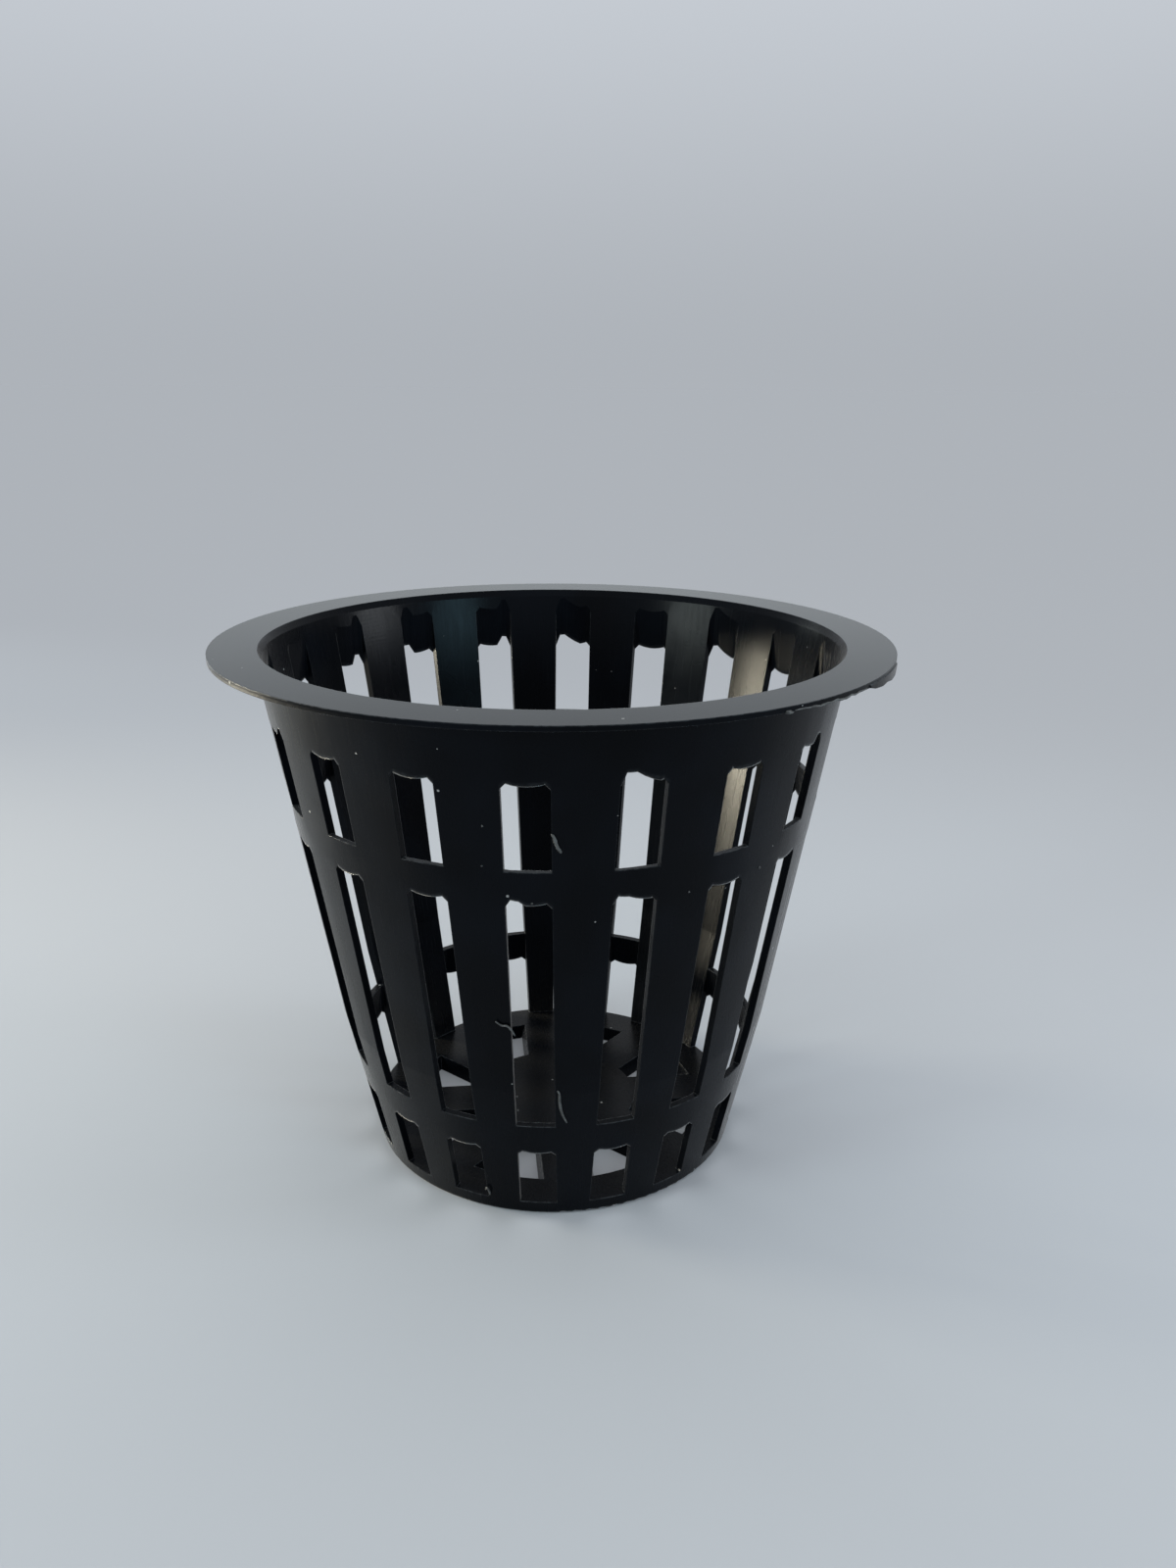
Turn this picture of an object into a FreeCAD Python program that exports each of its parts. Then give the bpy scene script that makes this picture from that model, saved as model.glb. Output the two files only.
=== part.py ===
import FreeCAD, Part
import math
import os

# Hydroponic net pot: one injection moulding, a slotted cup with a flange rim.
# Millimetres. The axis is Z, the base rests on z = 0 and the front faces -Y.
# Angles are in degrees round the axis from the front, towards +X.

# Cup
HEIGHT = 70.0              # base to rim top
BASE_RADIUS = 25.2         # outside of the wall at z = 0
BEND_RADIUS = 29.65        # outside of the wall where its taper changes
BEND_HEIGHT = 20.4
MOUTH_RADIUS = 38.15       # outside of the wall, carried up to the rim's top
WALL = 1.0                 # wall thickness, measured level
FLOOR = 2.0
BASE_ROUNDING = 0.6        # outer edge of the base

# Rim
RIM_RADIUS = 43.5
RIM_THICKNESS = 0.65
RIM_WEB = 0.5              # bevel that fills the corner under the rim, against the wall
LIP_RADIUS = 37.45         # inner edge of the rim's top
LIP_DEPTH = 0.9            # steep bevel from that edge down to the inner wall

# Slots: a stepped fin leaves three of them in each column, between the ledges
COLUMNS = 18
FIRST_COLUMN = -4.8
SLOT_WIDTH_AT_FLOOR = 4.7
SLOT_WIDTH_AT_RIM = 5.5
LOWER_SLOT_TOP = 10.5
MIDDLE_SLOT_BOTTOM = 15.0
MIDDLE_SLOT_TOP = 46.8
UPPER_SLOT_BOTTOM = 51.1
UPPER_SLOT_TOP = 61.4

# Face of a fin, in plan: its edges fall back, and most faces have a ridge beside one edge
EDGE_RELIEF = 0.15
EDGE_ROUNDING = 0.6
RIDGE_SHOULDER = 0.8       # share of a ridge's height that is left where that edge falls back
NO_RIDGE = (0.0, 0.0, 0.0)
# Column: (how far the ridge stands out, then where its crest and its foot are, as shares of
# the way from the middle of the face to where that edge falls back). The edge is the one at
# the larger angle, or the other one where the first number is negative.
UPPER_RIDGES = {
    1: (-0.24, 0.48, -0.81),
    3: (0.16, 0.62, 0.19),
    4: (-0.12, 0.67, -0.14),
    5: (0.2, 0.67, 0.29),
    7: (0.27, 0.67, -0.81),
    9: (0.23, 0.67, -0.52),
    10: (-0.21, 0.71, 0.29),
    11: (0.21, 0.62, 0.24),
    12: (-0.2, 0.67, 0.29),
    14: (-0.17, 0.62, -0.33),
    15: (0.14, 0.67, 0.24),
}
MIDDLE_RIDGES = {
    0: (-0.08, 0.55, 0.15),
    1: (-0.13, 0.4, -0.89),
    4: (0.1, 0.6, 0.11),
    7: (0.12, 0.55, -0.64),
    10: (-0.14, 0.65, 0.16),
    13: (0.13, 0.5, -0.29),
}

# Floor windows, measured on the floor's top face
WINDOWS = 8
FIRST_SPOKE = 4.7
SPOKE_WIDTH = 6.35
WINDOW_INNER_RADIUS = 11.6
WINDOW_OUTER_RADIUS = 20.75
WINDOW_DRAFT = 0.55        # how far each window wall leans in by the underside

# Flash along a stretch of the rim's edge: angles, and how far it hangs below the underside
FLASH_THICKNESS = 0.5
FLASH_PROUD = 0.15         # how far it stands out past the edge
FLASH = (
    (54.0, 0.0),
    (56.0, 0.35),
    (59.5, 0.6),
    (62.0, 0.5),
    (65.0, 0.8),
    (68.5, 0.8),
    (70.0, 0.35),
    (71.0, 0.0),
)

CLEARANCE = 1.0            # how far a cutting shape runs past the faces it opens


def wall_radius(height):
    """Outside radius of the wall at a height."""
    if height < BEND_HEIGHT:
        share = height / BEND_HEIGHT
        return BASE_RADIUS + share * (BEND_RADIUS - BASE_RADIUS)
    share = (height - BEND_HEIGHT) / (HEIGHT - BEND_HEIGHT)
    return BEND_RADIUS + share * (MOUTH_RADIUS - BEND_RADIUS)


def slot_half_width(height):
    """Half the width of the slots at a height: they widen upwards, for the core to draw out."""
    share = (height - FLOOR) / (HEIGHT - FLOOR)
    return (SLOT_WIDTH_AT_FLOOR + share * (SLOT_WIDTH_AT_RIM - SLOT_WIDTH_AT_FLOOR)) / 2


def turned(shape, degrees):
    """A copy turned round the pot's axis, from the front towards +X."""
    copy = shape.copy()
    copy.rotate(FreeCAD.Vector(0, 0, 0), FreeCAD.Vector(0, 0, 1), degrees)
    return copy


def revolved(section):
    """A solid turned round the axis from its (radius, height) section."""
    points = [FreeCAD.Vector(radius, 0, height) for radius, height in section]
    face = Part.Face(Part.makePolygon(points + points[:1]))
    return face.revolve(FreeCAD.Vector(0, 0, 0), FreeCAD.Vector(0, 0, 1), 360)


def rounded_base(cup):
    """Round the outer edge of the base."""
    edges = []
    for edge in cup.Edges:
        box = edge.BoundBox
        if box.ZMax < 1e-6 and abs(box.XMax - BASE_RADIUS) < 1e-6:
            edges.append(edge)
    return cup.makeFillet(BASE_ROUNDING, edges)


def plain_cup():
    """The wall, floor and rim before anything is opened in them."""
    rim_underside = HEIGHT - RIM_THICKNESS
    web_foot = rim_underside - RIM_WEB
    lip_foot = HEIGHT - LIP_DEPTH
    section = [
        (0, 0),
        (BASE_RADIUS, 0),
        (BEND_RADIUS, BEND_HEIGHT),
        (wall_radius(web_foot), web_foot),
        (wall_radius(rim_underside) + RIM_WEB, rim_underside),
        (RIM_RADIUS, rim_underside),
        (RIM_RADIUS, HEIGHT),
        (LIP_RADIUS, HEIGHT),
        (wall_radius(lip_foot) - WALL, lip_foot),
        (BEND_RADIUS - WALL, BEND_HEIGHT),
        (wall_radius(FLOOR) - WALL, FLOOR),
        (0, FLOOR),
    ]
    return rounded_base(revolved(section))


def face_line(half_width, reach, ridge):
    """Plan of a fin's face, left to right: (sideways, how far it stands out).

    The slot is half_width wide each side, and the face runs on to reach.
    """
    height, crest, foot = ridge
    shoulder = half_width - EDGE_ROUNDING
    beyond = EDGE_RELIEF * (reach - shoulder) / EDGE_ROUNDING
    line = [(-reach, -beyond), (-shoulder, 0.0)]
    if height:
        line.append((foot * shoulder, 0.0))
        line.append((crest * shoulder, abs(height)))
    line.append((shoulder, RIDGE_SHOULDER * abs(height)))
    line.append((reach, -beyond))
    if height < 0:
        return [(-sideways, out) for sideways, out in reversed(line)]
    return line


def fin_step(foot, slot_top, ridge):
    """One step of a fin, standing at the front: its face is where the wall's outside is at slot_top."""
    top = HEIGHT + CLEARANCE
    reach = slot_half_width(top)
    radius = wall_radius(slot_top)
    inner = wall_radius(FLOOR) - WALL - CLEARANCE
    line = face_line(slot_half_width(slot_top), reach, ridge)
    outline = [FreeCAD.Vector(sideways, -radius - out, foot) for sideways, out in line]
    outline += [FreeCAD.Vector(reach, -inner, foot), FreeCAD.Vector(-reach, -inner, foot)]
    plan = Part.Face(Part.makePolygon(outline + outline[:1]))
    return plan.extrude(FreeCAD.Vector(0, 0, top - foot))


def stepped_fin(number):
    """The core's fin that opens one column of slots, its face one step further out at each ledge.

    A slot ends where the sloping wall leans out past that face, so its bottom is a flat ledge
    and its top a thin edge.
    """
    lower = fin_step(FLOOR, LOWER_SLOT_TOP, NO_RIDGE)
    middle = fin_step(MIDDLE_SLOT_BOTTOM, MIDDLE_SLOT_TOP, MIDDLE_RIDGES.get(number, NO_RIDGE))
    upper = fin_step(UPPER_SLOT_BOTTOM, UPPER_SLOT_TOP, UPPER_RIDGES.get(number, NO_RIDGE))
    top = HEIGHT + CLEARANCE
    foot = slot_half_width(FLOOR)
    side = slot_half_width(top)
    taper = [(-foot, FLOOR), (foot, FLOOR), (side, top), (-side, top), (-foot, FLOOR)]
    front_view = Part.Face(Part.makePolygon([FreeCAD.Vector(x, -RIM_RADIUS, z) for x, z in taper]))
    sides = front_view.extrude(FreeCAD.Vector(0, RIM_RADIUS, 0))
    fin = lower.fuse([middle, upper]).common(sides)
    return turned(fin, FIRST_COLUMN + 360 / COLUMNS * number)


def spoke():
    """One floor spoke lying towards the front, narrower at its top than underneath."""
    above = SPOKE_WIDTH / 2 - WINDOW_DRAFT / FLOOR * CLEARANCE
    below = SPOKE_WIDTH / 2 + WINDOW_DRAFT / FLOOR * (FLOOR + CLEARANCE)
    top = FLOOR + CLEARANCE
    section = [(-below, -CLEARANCE), (below, -CLEARANCE), (above, top), (-above, top), (-below, -CLEARANCE)]
    face = Part.Face(Part.makePolygon([FreeCAD.Vector(x, 0, z) for x, z in section]))
    return face.extrude(FreeCAD.Vector(0, -WINDOW_OUTER_RADIUS - CLEARANCE, 0))


def floor_windows():
    """The plugs that open the floor: a drafted ring, parted by the spokes."""
    above = -WINDOW_DRAFT / FLOOR * CLEARANCE
    below = WINDOW_DRAFT / FLOOR * (FLOOR + CLEARANCE)
    top = FLOOR + CLEARANCE
    ring = revolved([
        (WINDOW_INNER_RADIUS + below, -CLEARANCE),
        (WINDOW_OUTER_RADIUS - below, -CLEARANCE),
        (WINDOW_OUTER_RADIUS - above, top),
        (WINDOW_INNER_RADIUS + above, top),
    ])
    bar = spoke()
    return ring.cut([turned(bar, FIRST_SPOKE + 360 / WINDOWS * number) for number in range(WINDOWS)])


def rim_flash():
    """The ragged skirt of flash left along a stretch of the rim's outer edge."""
    underside = HEIGHT - RIM_THICKNESS
    outer = RIM_RADIUS + FLASH_PROUD
    deepest = max(depth for angle, depth in FLASH)
    skirt = Part.makeCylinder(outer, deepest + RIM_THICKNESS / 2)
    skirt = skirt.cut(Part.makeCylinder(outer - FLASH_THICKNESS, HEIGHT))
    skirt.translate(FreeCAD.Vector(0, 0, underside - deepest))
    middle = (FLASH[0][0] + FLASH[-1][0]) / 2
    lower_edge = []
    for angle, depth in FLASH:
        sideways = outer * math.sin(math.radians(angle - middle))
        lower_edge.append(FreeCAD.Vector(sideways, 0, underside - depth))
    upper_edge = [FreeCAD.Vector(edge.x, 0, HEIGHT) for edge in (lower_edge[-1], lower_edge[0])]
    outline = Part.Face(Part.makePolygon(lower_edge + upper_edge + lower_edge[:1]))
    stretch = outline.extrude(FreeCAD.Vector(0, -outer - CLEARANCE, 0))
    return turned(skirt.common(stretch), middle)


def net_pot():
    fins = [stepped_fin(number) for number in range(COLUMNS)]
    opened = plain_cup().cut(fins + floor_windows().Solids)
    return opened.fuse(rim_flash()).removeSplitter()


os.makedirs("parts", exist_ok=True)
net_pot().exportStep("parts/net_pot.step")
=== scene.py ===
import math
import random
import bmesh
import bpy
from mathutils import Euler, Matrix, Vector, noise


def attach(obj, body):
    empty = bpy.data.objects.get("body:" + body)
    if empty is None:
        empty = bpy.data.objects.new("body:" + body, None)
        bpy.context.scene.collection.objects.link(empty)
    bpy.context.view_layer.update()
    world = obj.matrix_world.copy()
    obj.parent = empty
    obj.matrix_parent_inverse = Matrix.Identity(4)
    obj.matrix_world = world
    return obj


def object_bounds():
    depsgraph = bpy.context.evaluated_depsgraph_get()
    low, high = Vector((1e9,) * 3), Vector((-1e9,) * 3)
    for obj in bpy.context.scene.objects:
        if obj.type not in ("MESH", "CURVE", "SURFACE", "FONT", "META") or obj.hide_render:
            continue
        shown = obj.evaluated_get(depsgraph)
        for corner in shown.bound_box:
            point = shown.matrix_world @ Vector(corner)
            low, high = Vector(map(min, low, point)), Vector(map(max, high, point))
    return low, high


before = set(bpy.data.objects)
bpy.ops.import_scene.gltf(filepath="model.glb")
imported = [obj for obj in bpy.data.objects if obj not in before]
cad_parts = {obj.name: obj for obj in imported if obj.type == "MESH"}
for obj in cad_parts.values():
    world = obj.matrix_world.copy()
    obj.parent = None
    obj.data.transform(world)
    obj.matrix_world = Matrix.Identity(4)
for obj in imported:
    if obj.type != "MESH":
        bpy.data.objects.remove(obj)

# Lengths on the pot are in millimetres and angles in degrees round its axis, from the front towards +X.
MM = 0.001
CAD_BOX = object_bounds()
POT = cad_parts["net_pot"]
HEIGHT = CAD_BOX[1][2] / MM
RIM_RADIUS = CAD_BOX[1][0] / MM
MIDDLE = Vector((0.0, 0.0, 0.045))

# Camera: place in metres, turn in degrees, lens in millimetres on a 36 mm long side
CAMERA_PLACE = (0.0, -0.15935, 0.1021)
CAMERA_TURN = (71.83, -0.357, -1.5205)
CAMERA_LENS = 28.47

# Light: the ambient share and the sun's share of a level floor's light
FLOOR_COLOUR = (0.46, 0.49, 0.53)
AMBIENT = 0.80
ZENITH = 1.40              # how much brighter the shown backdrop gets towards its top
BACKDROP_RISE = 0.35       # how far up it is fully so: the height of a view line 1 long
FLOOR_REACH = 12.0         # half the floor's width, in metres
SUNS = (
    # name, azimuth it comes from, elevation, share, width, colour
    ("high", 165, 60, 0.12, 60, (1.0, 1.0, 1.0)),
)
LAMP_DISTANCE = 0.50       # metres from MIDDLE, which the lamps aim at
LAMPS = (
    # name, azimuth, elevation, size in metres, spread, power in watts, colour
    ("left_low", -108, -2, (0.12, 0.04), 50, 0.50, (1.0, 0.92, 0.72)),
    ("left_back", -138, 8, (0.12, 0.15), 70, 0.04, (0.90, 1.0, 0.97)),
    ("front_left", -66, 13, (0.15, 0.12), 50, 0.07, (0.88, 1.0, 0.98)),
    ("front_right", 45, 13, (0.15, 0.12), 50, 0.035, (0.42, 0.80, 1.0)),
    ("right", 88, 13, (0.15, 0.12), 50, 0.06, (0.90, 0.95, 1.0)),
)

# Plastic
PLASTIC = (0.0012, 0.0019, 0.0033)
# Pale edge colour: partly rubbed wear, partly a painted highlight on the edges
SCUFF_AND_HIGHLIGHT = (0.050, 0.056, 0.062)
DUST = (0.30, 0.31, 0.31)
WHITENED = (0.10, 0.105, 0.105)
DARKEST_TONE = 0.7         # the plastic's colour wanders between these shares of itself
LIGHTEST_TONE = 1.4
BLOTCH_TONE = 0.45         # the darkest share of the whitened colour
GRAIN_SCALE = 2.2
RING_PITCH = 0.55          # of the rings that turning left on the core
WEAR_AND_HIGHLIGHT_REACH = 0.28          # how far from an edge it is painted pale, as rubbed wear and painted highlight
EDGE_SOFTNESS = 0.12       # how far from an edge the light bends round it
BUMP_DEPTH = 0.02
WHITENED_BUMP_DEPTH = 0.03
BEVEL_SAMPLES = 6
SPECK_SCALE = 0.42
SPECK_CHOICE = 0.80        # the share of cells that stays free of a speck


class Graph:
    """A material's nodes, with short ways to add and join them."""

    def __init__(self, name):
        self.material = bpy.data.materials.new(name)
        self.material.use_nodes = True
        self.nodes = self.material.node_tree.nodes
        self.links = self.material.node_tree.links
        self.nodes.clear()
        output = self.nodes.new("ShaderNodeOutputMaterial")
        self.shader = self.nodes.new("ShaderNodeBsdfPrincipled")
        self.links.new(self.shader.outputs["BSDF"], output.inputs["Surface"])

    def join(self, value, socket):
        """Put a number, a colour or another node's output into a socket."""
        if isinstance(value, bpy.types.NodeSocket):
            self.links.new(value, socket)
        elif isinstance(value, tuple) and len(value) == 3 and socket.type == "RGBA":
            socket.default_value = (*value, 1)
        else:
            socket.default_value = value

    def set(self, name, value):
        self.join(value, self.shader.inputs[name])

    def math(self, operation, first, second=0.0):
        node = self.nodes.new("ShaderNodeMath")
        node.operation = operation
        self.join(first, node.inputs[0])
        self.join(second, node.inputs[1])
        return node.outputs["Value"]

    def vector_math(self, operation, first, second=(0.0, 0.0, 0.0)):
        node = self.nodes.new("ShaderNodeVectorMath")
        node.operation = operation
        self.join(first, node.inputs[0])
        self.join(second, node.inputs[1])
        return node.outputs["Value" if operation in ("DOT_PRODUCT", "LENGTH") else "Vector"]

    def ramp(self, value, low, high, to_low=0.0, to_high=1.0):
        """Carry a value from one range to another, smoothly and without leaving it."""
        node = self.nodes.new("ShaderNodeMapRange")
        node.interpolation_type = "SMOOTHSTEP"
        self.join(value, node.inputs["Value"])
        node.inputs["From Min"].default_value = low
        node.inputs["From Max"].default_value = high
        self.join(to_low, node.inputs["To Min"])
        self.join(to_high, node.inputs["To Max"])
        return node.outputs["Result"]

    def noise(self, place, scale, detail=2.0, roughness=0.5):
        node = self.nodes.new("ShaderNodeTexNoise")
        self.join(place, node.inputs["Vector"])
        node.inputs["Scale"].default_value = scale
        node.inputs["Detail"].default_value = detail
        node.inputs["Roughness"].default_value = roughness
        return node.outputs["Fac"]

    def mix(self, share, first, second):
        node = self.nodes.new("ShaderNodeMix")
        node.data_type = "RGBA"
        self.join(share, node.inputs[0])
        self.join(first, node.inputs[6])
        self.join(second, node.inputs[7])
        return node.outputs[2]

    def join_xyz(self, x, y, z):
        node = self.nodes.new("ShaderNodeCombineXYZ")
        self.join(x, node.inputs[0])
        self.join(y, node.inputs[1])
        self.join(z, node.inputs[2])
        return node.outputs["Vector"]

    def bevel(self, radius):
        node = self.nodes.new("ShaderNodeBevel")
        node.samples = BEVEL_SAMPLES
        node.inputs["Radius"].default_value = radius * MM
        return node.outputs["Normal"]


def black_plastic():
    graph = Graph("black_plastic")
    coordinates = graph.nodes.new("ShaderNodeTexCoord")
    geometry = graph.nodes.new("ShaderNodeNewGeometry")
    place = graph.vector_math("MULTIPLY", coordinates.outputs["Object"], (1 / MM, 1 / MM, 1 / MM))
    parts = graph.nodes.new("ShaderNodeSeparateXYZ")
    graph.join(place, parts.inputs[0])
    x, y, z = parts.outputs
    squares = graph.math("ADD", graph.math("MULTIPLY", x, x), graph.math("MULTIPLY", y, y))
    radius = graph.math("SQRT", squares)
    around = graph.math("ARCTAN2", x, graph.math("MULTIPLY", y, -1.0))
    along = graph.math("MULTIPLY", around, RIM_RADIUS)

    # Where: the rim's top, and the cup's inside
    rim_top = graph.ramp(z, HEIGHT - 0.5, HEIGHT - 0.1)
    outward = graph.vector_math("NORMALIZE", graph.join_xyz(x, y, 0.0))
    facing = graph.vector_math("DOT_PRODUCT", coordinates.outputs["Normal"], outward)
    inside = graph.ramp(facing, -0.9, -0.6, 1.0, 0.0)

    # Moulded surface: fine grain, drag marks along the draw, and rings left by turning the core
    grain = graph.noise(place, GRAIN_SCALE, 3.0, 0.6)
    stretched = graph.join_xyz(graph.math("MULTIPLY", along, 1.6), graph.math("MULTIPLY", z, 0.05), radius)
    drag = graph.noise(stretched, 1.0, 2.0)
    ring_wave = graph.math("SINE", graph.math("MULTIPLY", z, 2 * math.pi / RING_PITCH))
    ring_fade = graph.ramp(graph.noise(place, 0.18, 1.0), 0.45, 0.6)
    rings = graph.math("MULTIPLY", graph.math("MULTIPLY", ring_wave, ring_fade), inside)
    relief = graph.math("ADD", graph.math("MULTIPLY", grain, 0.9), graph.math("MULTIPLY", drag, 0.15))
    relief = graph.math("ADD", relief, graph.math("MULTIPLY", rings, 0.10))

    # Edges painted pale, most where they face upwards: partly rubbed wear, partly a painted highlight; and
    # sparse specks of dust
    soft = graph.bevel(WEAR_AND_HIGHLIGHT_REACH)
    turn_away = graph.vector_math("DOT_PRODUCT", soft, geometry.outputs["Normal"])
    edge = graph.ramp(turn_away, 0.99, 0.86)
    patches = graph.ramp(graph.noise(place, 1.1, 3.0), 0.38, 0.62, 0.3, 1.0)
    upward = graph.ramp(graph.vector_math("DOT_PRODUCT", soft, (0.0, 0.0, 1.0)), 0.0, 0.5, 0.15, 1.0)
    # Mask of the pale edges, weighted to upward edges: rubbed wear and painted highlight
    scuff_and_highlight = graph.math("MULTIPLY", graph.math("MULTIPLY", edge, patches), upward)
    cells = graph.nodes.new("ShaderNodeTexVoronoi")
    graph.join(place, cells.inputs["Vector"])
    cells.inputs["Scale"].default_value = SPECK_SCALE
    tint = graph.nodes.new("ShaderNodeSeparateXYZ")
    graph.join(cells.outputs["Color"], tint.inputs[0])
    chosen = graph.math("GREATER_THAN", tint.outputs[0], SPECK_CHOICE)
    size = graph.ramp(tint.outputs[1], 0.0, 1.0, 0.035, 0.075)
    speck = graph.math("MULTIPLY", graph.math("LESS_THAN", cells.outputs["Distance"], size), chosen)

    tone = graph.noise(place, 0.09, 2.0)
    darkest = tuple(DARKEST_TONE * channel for channel in PLASTIC)
    lightest = tuple(LIGHTEST_TONE * channel for channel in PLASTIC)
    colour = graph.mix(graph.ramp(tone, 0.3, 0.7), darkest, lightest)
    # Edges mixed towards the pale colour: rubbed wear and painted highlight
    colour = graph.mix(scuff_and_highlight, colour, SCUFF_AND_HIGHLIGHT)
    colour = graph.mix(graph.math("MULTIPLY", speck, 0.8), colour, DUST)
    graph.set("Base Color", colour)

    rough = graph.ramp(rim_top, 0.0, 1.0, graph.ramp(drag, 0.3, 0.7, 0.24, 0.28), 0.18)
    rough = graph.math("MAXIMUM", rough, graph.math("MULTIPLY", graph.math("MAXIMUM", scuff_and_highlight, speck), 0.55))
    graph.set("Roughness", rough)

    bump = graph.nodes.new("ShaderNodeBump")
    bump.inputs["Strength"].default_value = 0.35
    bump.inputs["Distance"].default_value = BUMP_DEPTH * MM
    graph.join(relief, bump.inputs["Height"])
    graph.join(graph.bevel(EDGE_SOFTNESS), bump.inputs["Normal"])
    graph.set("Normal", bump.outputs["Normal"])
    graph.set("Specular IOR Level", 0.075)
    graph.set("Sheen Weight", 0.28)
    graph.set("Sheen Roughness", 0.25)
    return graph.material


def whitened_plastic():
    """Thin flash and burrs: the same plastic, drawn out until it turns pale."""
    graph = Graph("whitened_plastic")
    coordinates = graph.nodes.new("ShaderNodeTexCoord")
    place = graph.vector_math("MULTIPLY", coordinates.outputs["Object"], (1 / MM, 1 / MM, 1 / MM))
    blotches = graph.ramp(graph.noise(place, 1.8, 3.0), 0.35, 0.65)
    darkest = tuple(BLOTCH_TONE * channel for channel in WHITENED)
    graph.set("Base Color", graph.mix(blotches, darkest, WHITENED))
    graph.set("Roughness", graph.ramp(blotches, 0.0, 1.0, 0.4, 0.6))
    bump = graph.nodes.new("ShaderNodeBump")
    bump.inputs["Strength"].default_value = 0.4
    bump.inputs["Distance"].default_value = WHITENED_BUMP_DEPTH * MM
    graph.join(graph.noise(place, 5.0, 3.0), bump.inputs["Height"])
    graph.set("Normal", bump.outputs["Normal"])
    graph.set("Specular IOR Level", 0.2)
    return graph.material


# Marks on the pot

PILLAR = 5.2               # an azimuth at which the wall has no slot
CLEAR = 5.0                # how far outside the rim a measuring ray starts
RIM_EDGE_DROP = 0.60       # how far the flash on the rim's edge is below its top


def wall_radius(height):
    """Outside radius of the wall at a height, measured on the CAD part."""
    ray = -spot(PILLAR, 1.0, 0.0).normalized()
    place = POT.ray_cast(spot(PILLAR, RIM_RADIUS + CLEAR, height), ray)[1]
    return math.hypot(place.x, place.y) / MM


def spot(azimuth, radius, height):
    turn = math.radians(azimuth)
    return Vector((radius * math.sin(turn), -radius * math.cos(turn), height)) * MM


def on_wall(azimuth, height, out=0.0):
    return spot(azimuth, wall_radius(height) + out, height)


def smooth_path(points, steps):
    """Points along a Catmull-Rom curve through the given ones."""
    ends = [points[0]] + list(points) + [points[-1]]
    path = []
    for before, start, end, after in zip(ends, ends[1:], ends[2:], ends[3:]):
        for step in range(steps):
            t = step / steps
            linear = (end - before) * t
            square = (2 * before - 5 * start + 4 * end - after) * t * t
            cube = (3 * start - before - 3 * end + after) * t * t * t
            path.append(0.5 * (2 * start + linear + square + cube))
    path.append(points[-1])
    return path


def thread(name, points, thickness, sides=8, steps=6, ragged=0.25):
    """A closed ragged thread of plastic through the points, thin at both ends."""
    path = smooth_path(points, steps)
    rings = []
    mesh = bmesh.new()
    for index, place in enumerate(path):
        before = path[max(index - 1, 0)]
        after = path[min(index + 1, len(path) - 1)]
        along = (after - before).normalized()
        across = along.cross(Vector((0.0, 1.0, 0.0))).normalized()
        up = along.cross(across)
        share = index / (len(path) - 1)
        swell = math.sin(math.pi * (0.08 + 0.84 * share)) ** 0.5
        ring = []
        for side in range(sides):
            turn = 2 * math.pi * side / sides
            lean = math.cos(turn) * across + math.sin(turn) * up
            rough = 1 + ragged * noise.noise(place / MM * 4.0 + lean * 1.5)
            ring.append(mesh.verts.new(place + lean * thickness * 0.5 * MM * swell * rough))
        rings.append(ring)
    for ring, following in zip(rings, rings[1:]):
        for side in range(sides):
            corner = (side + 1) % sides
            mesh.faces.new((ring[side], ring[corner], following[corner], following[side]))
    mesh.faces.new(rings[0])
    mesh.faces.new(reversed(rings[-1]))
    finish_piece(name, mesh)


def lump(name, place, size, seed):
    """A small closed nub of plastic."""
    mesh = bmesh.new()
    bmesh.ops.create_icosphere(mesh, subdivisions=3, radius=1.0)
    shift = Vector((seed, 2.0 * seed, 3.0 * seed))
    for vertex in mesh.verts:
        swell = 1 + 0.35 * noise.noise(vertex.co * 1.3 + shift)
        vertex.co = place + Vector([c * s * MM for c, s in zip(vertex.co * swell, size)])
    finish_piece(name, mesh)


def finish_piece(name, mesh):
    bmesh.ops.recalc_face_normals(mesh, faces=mesh.faces)
    data = bpy.data.meshes.new(name)
    mesh.to_mesh(data)
    mesh.free()
    data.shade_smooth()
    data.materials.append(bpy.data.materials["whitened_plastic"])
    piece = bpy.data.objects.new(name, data)
    bpy.context.scene.collection.objects.link(piece)
    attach(piece, "root")


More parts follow.
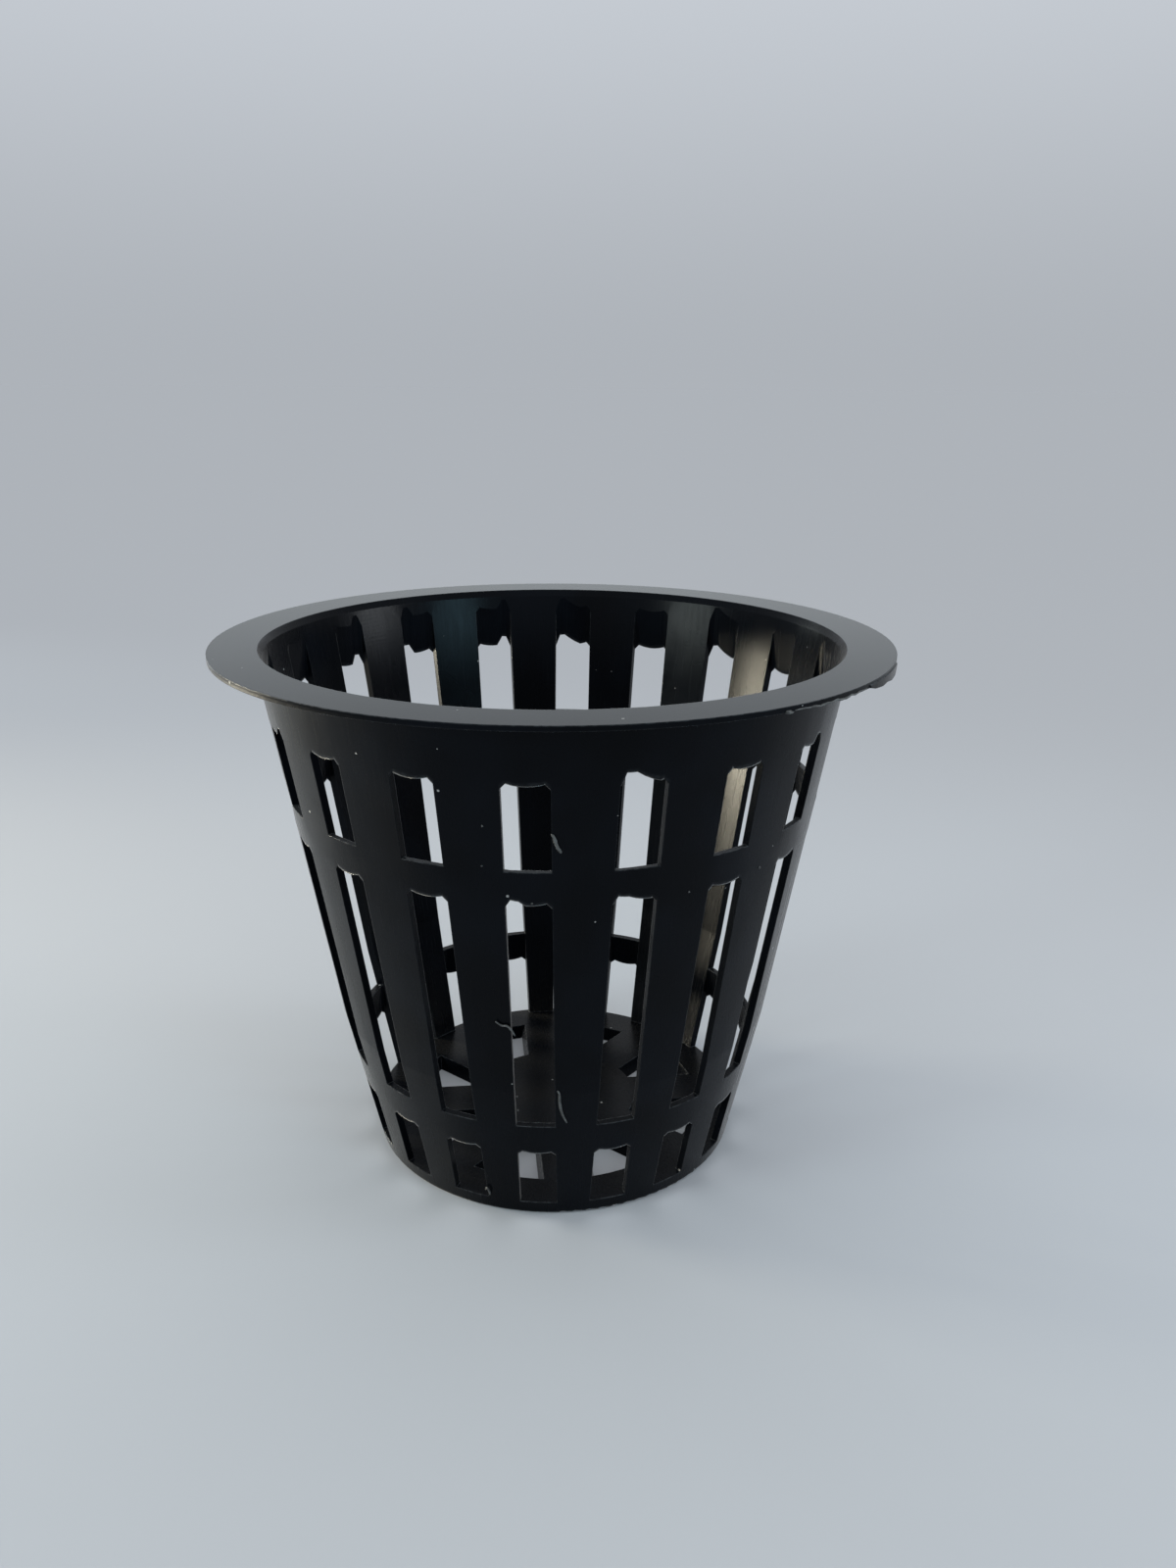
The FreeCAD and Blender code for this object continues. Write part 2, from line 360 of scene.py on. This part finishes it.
def flash_marks():
    """Threads, burrs and specks of flash that the mould left at the slots and the rim."""
    thread("flash_thread_left", [on_wall(*values) for values in (
        (-12.6, 30.9, 0.25), (-11.4, 30.4, 0.15), (-10.1, 30.4, 0.25), (-9.3, 29.8, 0.15), (-8.6, 28.9, 0.0),
    )], 0.26)
    thread("flash_thread_right", [on_wall(*values) for values in (
        (0.55, 20.9, 0.0), (0.96, 20.5, 0.2), (1.06, 19.4, 0.3), (1.3, 18.2, 0.2), (1.75, 17.2, 0.15),
        (2.8, 15.8, 0.1),
    )], 0.34)
    thread("slot_burr", [on_wall(*values) for values in (
        (-0.5, 55.9, -0.1), (-0.05, 55.5, 0.25), (0.38, 54.6, 0.3), (0.75, 54.1, 0.2), (1.15, 53.6, 0.0),
    )], 0.40, ragged=0.5)
    thread("slot_curl", [on_wall(*values) for values in (
        (-20.3, 3.0, -0.1), (-19.4, 3.7, 0.25), (-18.7, 3.2, 0.35), (-18.9, 2.4, 0.1),
    )], 0.26)
    under = HEIGHT - RIM_EDGE_DROP
    lump("rim_lump", spot(33.8, RIM_RADIUS - 0.12, under), (0.55, 0.50, 0.22), 3)
    draw = random.Random(5)
    edge = [spot(angle, RIM_RADIUS - 0.02 + draw.uniform(-0.03, 0.05), under + draw.uniform(-0.08, 0.10))
            for angle in range(35, 54)]
    thread("rim_edge_flash", edge, 0.26, ragged=0.6, steps=3)
    for number, (azimuth, height, across) in enumerate((
        (44.7, 47.4, 0.34), (26.3, 47.0, 0.24), (-12.4, 56.6, 0.22), (-13.1, 51.6, 0.22),
        (-4.1, 47.2, 0.24), (-8.9, 19.8, 0.20), (-8.9, 17.6, 0.22),
    )):
        lump("speck_%d" % (number + 1), on_wall(azimuth, height), (across / 2,) * 3, number)


# Studio

def set_camera():
    data = bpy.data.cameras.new("camera")
    camera = bpy.data.objects.new("camera", data)
    bpy.context.scene.collection.objects.link(camera)
    camera.location = CAMERA_PLACE
    camera.rotation_euler = Euler([math.radians(angle) for angle in CAMERA_TURN])
    data.lens = CAMERA_LENS
    data.clip_start = 0.001
    bpy.context.scene.camera = camera


def floor():
    mesh = bpy.data.meshes.new("floor")
    reach = FLOOR_REACH
    corners = [(-reach, -reach, 0), (reach, -reach, 0), (reach, reach, 0), (-reach, reach, 0)]
    mesh.from_pydata(corners, [], [(0, 1, 2, 3)])
    piece = bpy.data.objects.new("floor", mesh)
    bpy.context.scene.collection.objects.link(piece)
    graph = Graph("floor")
    graph.set("Base Color", FLOOR_COLOUR)
    graph.set("Roughness", 1.0)
    graph.set("Specular IOR Level", 0.0)
    mesh.materials.append(graph.material)


def studio_world():
    """White light from all round; the eye and reflections see a pale backdrop that meets the floor."""
    world = bpy.data.worlds.new("studio")
    bpy.context.scene.world = world
    world.use_nodes = True
    nodes = world.node_tree.nodes
    links = world.node_tree.links
    nodes.clear()
    output = nodes.new("ShaderNodeOutputWorld")
    light = nodes.new("ShaderNodeBackground")
    light.inputs["Color"].default_value = (1.0, 1.0, 1.0, 1)
    light.inputs["Strength"].default_value = AMBIENT
    shown = nodes.new("ShaderNodeBackground")
    shown.inputs["Color"].default_value = (*FLOOR_COLOUR, 1)
    place = nodes.new("ShaderNodeTexCoord")
    parts = nodes.new("ShaderNodeSeparateXYZ")
    links.new(place.outputs["Generated"], parts.inputs[0])
    rise = nodes.new("ShaderNodeMapRange")
    rise.interpolation_type = "SMOOTHSTEP"
    rise.inputs["From Min"].default_value = 0.0
    rise.inputs["From Max"].default_value = BACKDROP_RISE
    level = AMBIENT + sum(sun[3] for sun in SUNS)
    rise.inputs["To Min"].default_value = level
    rise.inputs["To Max"].default_value = level * ZENITH
    links.new(parts.outputs["Z"], rise.inputs["Value"])
    links.new(rise.outputs["Result"], shown.inputs["Strength"])
    path = nodes.new("ShaderNodeLightPath")
    seen = path.outputs["Is Camera Ray"]
    for name in ("Is Glossy Ray", "Is Transmission Ray"):
        either = nodes.new("ShaderNodeMath")
        either.operation = "MAXIMUM"
        links.new(seen, either.inputs[0])
        links.new(path.outputs[name], either.inputs[1])
        seen = either.outputs["Value"]
    mix = nodes.new("ShaderNodeMixShader")
    links.new(seen, mix.inputs["Fac"])
    links.new(light.outputs["Background"], mix.inputs[1])
    links.new(shown.outputs["Background"], mix.inputs[2])
    links.new(mix.outputs["Shader"], output.inputs["Surface"])


def towards(azimuth, elevation):
    """Unit vector at an azimuth and an elevation."""
    turn = math.radians(azimuth)
    rise = math.radians(elevation)
    return Vector((math.cos(rise) * math.sin(turn), -math.cos(rise) * math.cos(turn), math.sin(rise)))


def sun(name, azimuth, elevation, share, width, colour):
    """A soft sun. Share is what it adds to the light on a level floor."""
    data = bpy.data.lights.new(name, "SUN")
    data.angle = math.radians(width)
    data.color = colour
    data.energy = share * math.pi / math.sin(math.radians(elevation))
    piece = bpy.data.objects.new(name, data)
    bpy.context.scene.collection.objects.link(piece)
    piece.rotation_euler = towards(azimuth, elevation).to_track_quat("Z", "Y").to_euler()


def lamp(name, azimuth, elevation, size, spread, power, colour):
    """A rectangular lamp that aims at the pot, with its light kept to a cone."""
    data = bpy.data.lights.new(name, "AREA")
    data.shape = "RECTANGLE"
    data.size, data.size_y = size
    data.spread = math.radians(spread)
    data.energy = power
    data.color = colour
    piece = bpy.data.objects.new(name, data)
    bpy.context.scene.collection.objects.link(piece)
    away = towards(azimuth, elevation)
    piece.location = MIDDLE + LAMP_DISTANCE * away
    piece.rotation_euler = away.to_track_quat("Z", "Y").to_euler()
    piece.visible_camera = False


POT.data.materials.clear()
POT.data.materials.append(black_plastic())
whitened_plastic()
flash_marks()
set_camera()
floor()
studio_world()
for values in SUNS:
    sun(*values)
for values in LAMPS:
    lamp(*values)

bpy.context.scene.view_settings.view_transform = "Standard"
